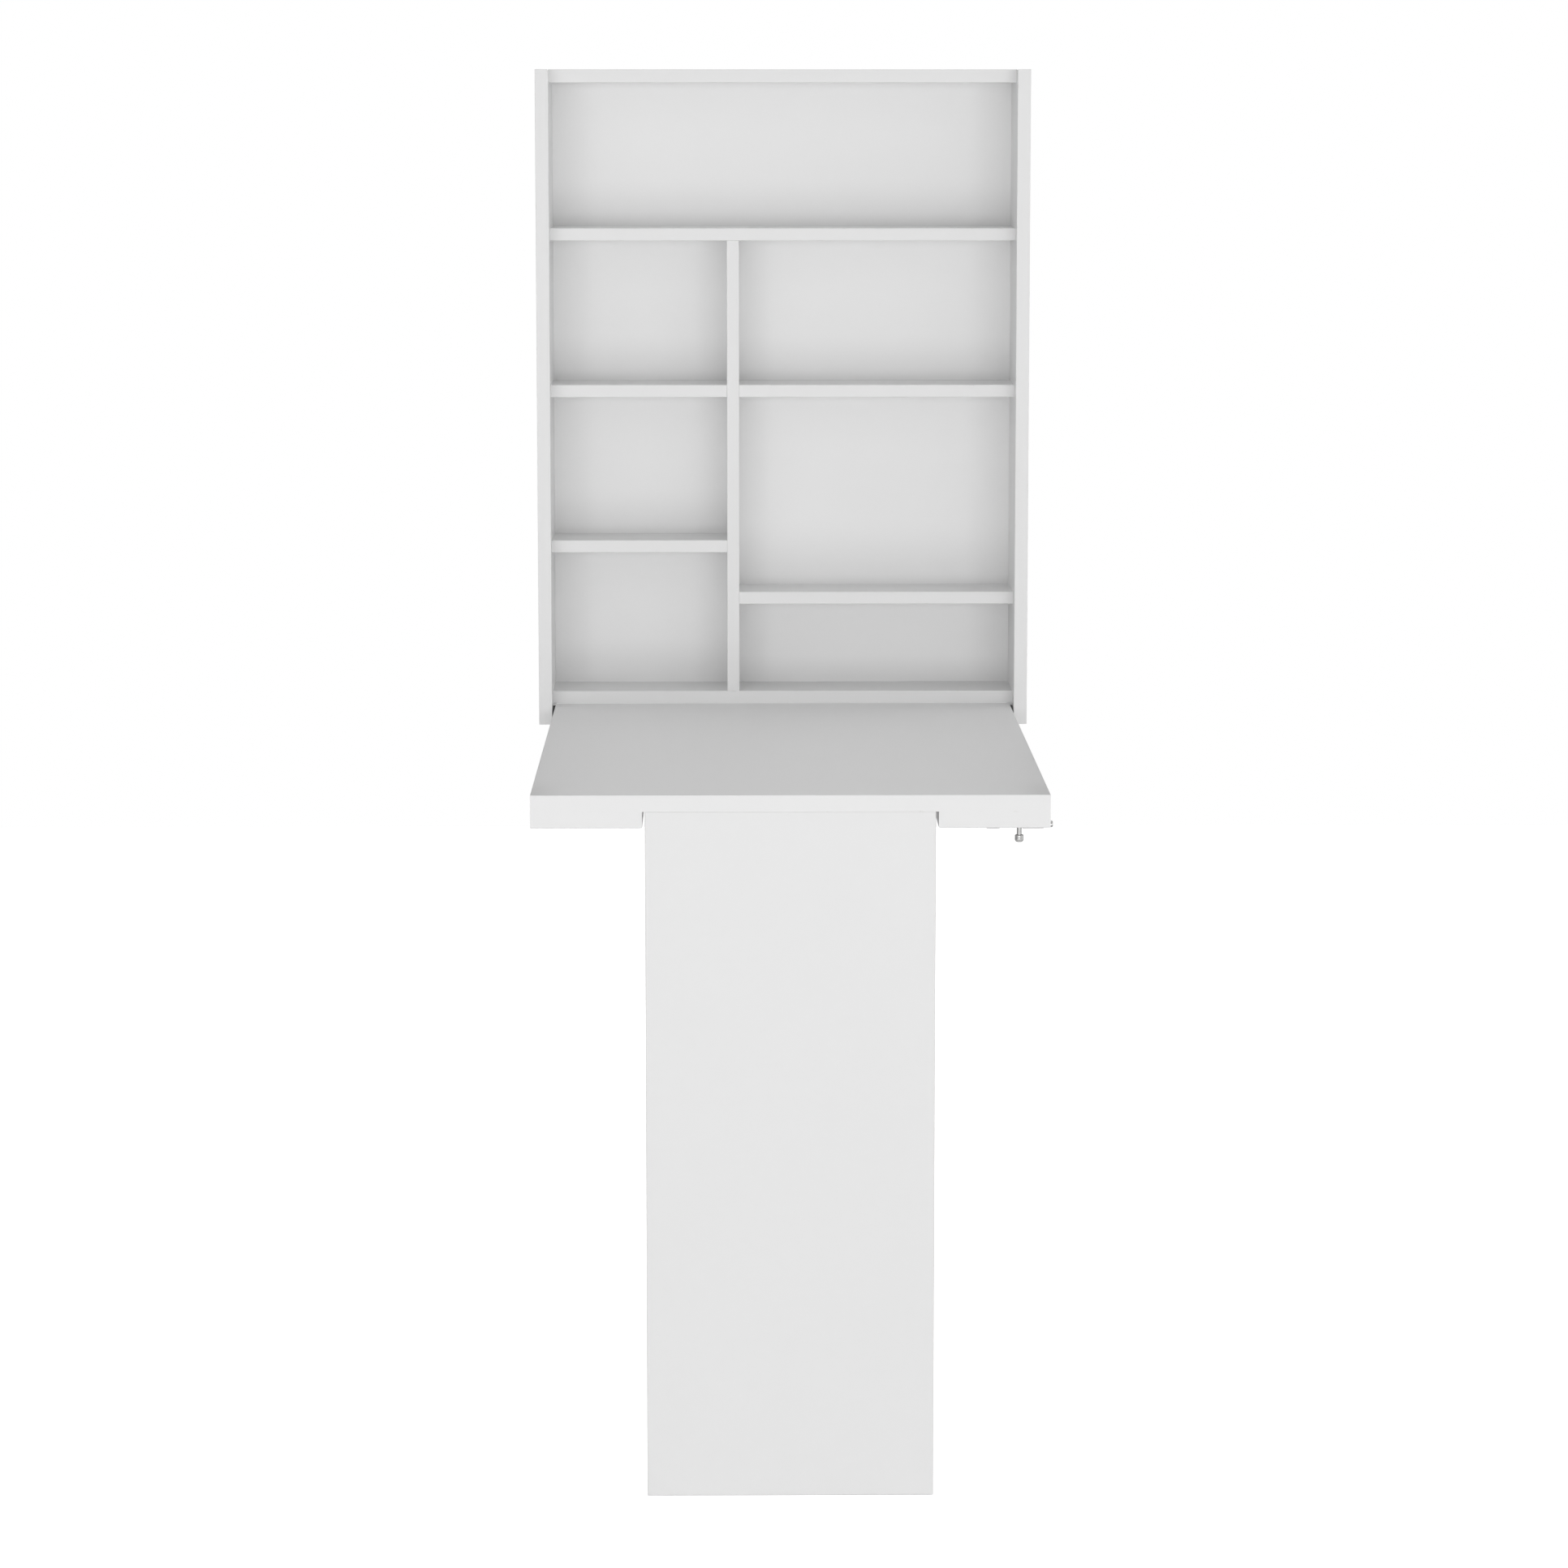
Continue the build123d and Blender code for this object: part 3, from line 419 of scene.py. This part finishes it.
# ---- metal and nylon ----
# Slot, tones, roughness, stretch of the tool marks, their depth, dulling, rim, and the nodes.
METALS = (
    ("zinc", (0.50, 0.64), (0.38, 0.55), (900, 900, 900), 0.08 * MM, 0.4, 0.9,
     ("cam_housings",)),
    ("steel_pin", (0.58, 0.70), (0.22, 0.34), (200, 2500, 2500), 0.02 * MM, 0.3, 0.9,
     ("cam_bolts", "pivot_pins", "leg_hinge_pins")),
    ("hinge_steel", (0.62, 0.74), (0.22, 0.36), (60, 2600, 2600), 0.02 * MM, 0.16, 0.9,
     ("leg_hinge_board_leaves", "leg_hinge_leg_leaves")),
    ("screw_steel", (0.46, 0.60), (0.20, 0.32), (1800, 1800, 1800), 0.02 * MM, 0.25, 0.9,
     ("leg_hinge_board_screws", "leg_hinge_leg_screws", "bolt_plate_screws")),
    ("bolt_plate_steel", (0.64, 0.75), (0.20, 0.32), (60, 2600, 2600), 0.02 * MM, 0.14, 0.9,
     ("bolt_guide_plate",)),
    ("bolt_bright", (0.60, 0.66), (0.05, 0.11), (3800, 500, 3800), 0.005 * MM, 0.10, 0.3,
     ("bolt_rod", "bolt_knob")),
)
NYLON_TONES = (grey(0.040), grey(0.062, -0.03))
NYLON_ROUGHNESS = (0.34, 0.48)
NYLON_DEPTH = 0.03 * MM
NYLON_IOR = 1.53


def metal(slot, tones, roughness, lines, line_bump, dulling, rim):
    """Plated or cast metal.

    lines stretches its fine tool marks, and dulling is how far it dulls in patches.
    """
    g = Graph(slot)
    marks = g.noise(1.0, 3, 0.6, g.stretched(*lines))
    clouds = g.between(g.noise(55, 3, 0.55), 0.45, 0.75)
    specks = g.between(g.noise(650, 3, 0.6), 0.64, 0.74)
    dull = g.math("MULTIPLY", g.plus(clouds, specks), dulling, clamp=True)
    colour = g.mix(marks, grey(tones[0]), grey(tones[1], 0.02))
    colour = g.mix(dull, colour, grey(tones[0] * 0.7, 0.05))
    rough = g.plus(g.spread(marks, *roughness), g.times(dull, 0.25))
    return g.finish(colour, rough, g.bump(marks, line_bump, 0.7), metallic=1.0, rim=rim)


def nylon(slot):
    """Black nylon with a fine moulded texture."""
    g = Graph(slot)
    mottle = g.noise(420, 3, 0.6)
    colour = g.mix(g.noise(60, 2), *NYLON_TONES)
    normal = g.bump(mottle, NYLON_DEPTH, 0.6)
    return g.finish(colour, g.spread(mottle, *NYLON_ROUGHNESS), normal, ior=NYLON_IOR)


# ---- which finish each node has ----

def paint(material, *names):
    for name in names:
        for slot in nodes[name].material_slots:
            slot.material = material


def make_finishes():
    for node in ("side_panel_left", "side_panel_right"):
        paint(melamine(node, ("front", "z"), raw_rear=True), node)
    for node in ("top_panel", "bottom_panel"):
        paint(melamine(node, ("front",), raw_rear=True), node)
    for node in SHELVES:
        paint(melamine(node, ("front",)), node)
    for node in ("desktop_board", "outer_strip_left", "outer_strip_right"):
        finish = melamine(node, ("x", "y"), slot="desk_board", painted_corner_shade=node == "desktop_board")
        paint(finish, node)
    paint(melamine("leg_panel", ("x", "z"), slot="leg_board"), "leg_panel")
    paint(hardboard("back_panel"), "back_panel")
    for node in ("hanging_cleat", "wall_cleat"):
        paint(plywood("cleat_wood", node), node)
    paint(beech("dowel_wood"), "dowels")
    for *finish, names in METALS:
        paint(metal(*finish), *names)
    paint(nylon("nylon"), "pivot_bushings")


# ---- stage ----
FLOOR_Z = cad_box[0].z - 0.2 * MM  # just below the leg's end
FLOOR_SPAN_X = (-3.6, 3.6)
FLOOR_SPAN_Y = (-8.5, 4.0)
FLOOR_TONES = (grey(0.90), grey(0.92))
FLOOR_ROUGHNESS = 0.8
FLOOR_DEPTH = 0.2 * MM
FLOOR_GLOW = 0.6                   # only as seen by the camera
BACKDROP = 1.0                     # the world as seen by the camera
# Soft light from all round: broad lobes as (direction, strength, power).
LOBES = (
    ((0.0, 0.0, 1.0), 0.838, 2.0),
    ((-1.0, 0.0, 0.0), 0.495, 2.0),
    ((1.0, 0.0, 0.0), 0.997, 2.0),
)
# Softboxes: name, place, the point it faces, width and height, watts.
SOFTBOXES = (
    ("front", (0.0, -8.0, -0.3), (0.0, -0.3, -0.4), (7.0, 2.2), 203.0),
    ("left", (-2.6, -4.6, 1.6), (0.0, -0.3, -0.4), (2.4, 2.4), 19.0),
    ("right", (2.6, -4.6, 1.6), (0.0, -0.3, -0.4), (2.4, 2.4), 12.0),
    ("rear", (0.0, 2.5, -0.1), (0.0, 0.0, -0.5), (0.6, 0.8), 12.0),
)


def make_floor():
    mesh = bpy.data.meshes.new("floor")
    shape = bmesh.new()
    corners = [shape.verts.new((x, y, FLOOR_Z)) for x in FLOOR_SPAN_X for y in FLOOR_SPAN_Y]
    shape.faces.new([corners[i] for i in (0, 2, 3, 1)])
    shape.to_mesh(mesh)
    shape.free()
    floor = bpy.data.objects.new("floor", mesh)
    scene.collection.objects.link(floor)

    g = Graph("floor")
    colour = g.mix(g.noise(1.5, 3), *FLOOR_TONES)
    normal = g.bump(g.noise(300, 2), FLOOR_DEPTH, 0.2)
    glow = g.times(g.add("LightPath").outputs["Is Camera Ray"], FLOOR_GLOW)
    shader = g.add("BsdfPrincipled", Base_Color=colour, Roughness=FLOOR_ROUGHNESS, Normal=normal,
                   Emission_Color=grey(1.0), Emission_Strength=glow)
    underneath = g.add("NewGeometry").outputs["Backfacing"]
    clear = g.add("BsdfTransparent")
    both = g.add("MixShader", Fac=underneath, i1=shader.outputs[0], i2=clear.outputs[0])
    g.set(g.output.inputs["Surface"], both.outputs[0])
    mesh.materials.append(g.material)


def make_world():
    world = bpy.data.worlds.new("studio")
    world.use_nodes = True
    scene.world = world
    tree = world.node_tree
    tree.nodes.clear()

    def add(kind, *inputs, **settings):
        node = tree.nodes.new("ShaderNode" + kind)
        for key, value in settings.items():
            setattr(node, key, value)
        for socket, value in zip(node.inputs, inputs):
            if isinstance(value, bpy.types.NodeSocket):
                tree.links.new(value, socket)
            else:
                socket.default_value = value
        return node

    direction = add("TexCoord").outputs["Generated"]
    total = 0.0
    for axis, strength, power in LOBES:
        facing = add("VectorMath", direction, axis, operation="DOT_PRODUCT").outputs["Value"]
        facing = add("Math", facing, 0.0, operation="MAXIMUM").outputs[0]
        lobe = add("Math", facing, power, operation="POWER").outputs[0]
        total = add("Math", lobe, strength, total, operation="MULTIPLY_ADD").outputs[0]
    seen = add("LightPath").outputs["Is Camera Ray"]
    light = add("Background", grey(1.0), total)
    backdrop = add("Background", grey(1.0), BACKDROP)
    both = add("MixShader", seen, light.outputs[0], backdrop.outputs[0])
    add("OutputWorld", both.outputs[0])


def make_softboxes():
    for name, place, aim, size, watts in SOFTBOXES:
        data = bpy.data.lights.new(name, "AREA")
        data.shape = "RECTANGLE"
        data.size, data.size_y = size
        data.energy = watts
        lamp = bpy.data.objects.new(name, data)
        lamp.location = place
        facing = Vector(aim) - Vector(place)
        lamp.rotation_euler = facing.to_track_quat("-Z", "Y").to_euler()
        lamp.visible_camera = False
        scene.collection.objects.link(lamp)


make_camera()
make_finishes()
make_floor()
make_world()
make_softboxes()
scene.view_settings.view_transform = "Standard"
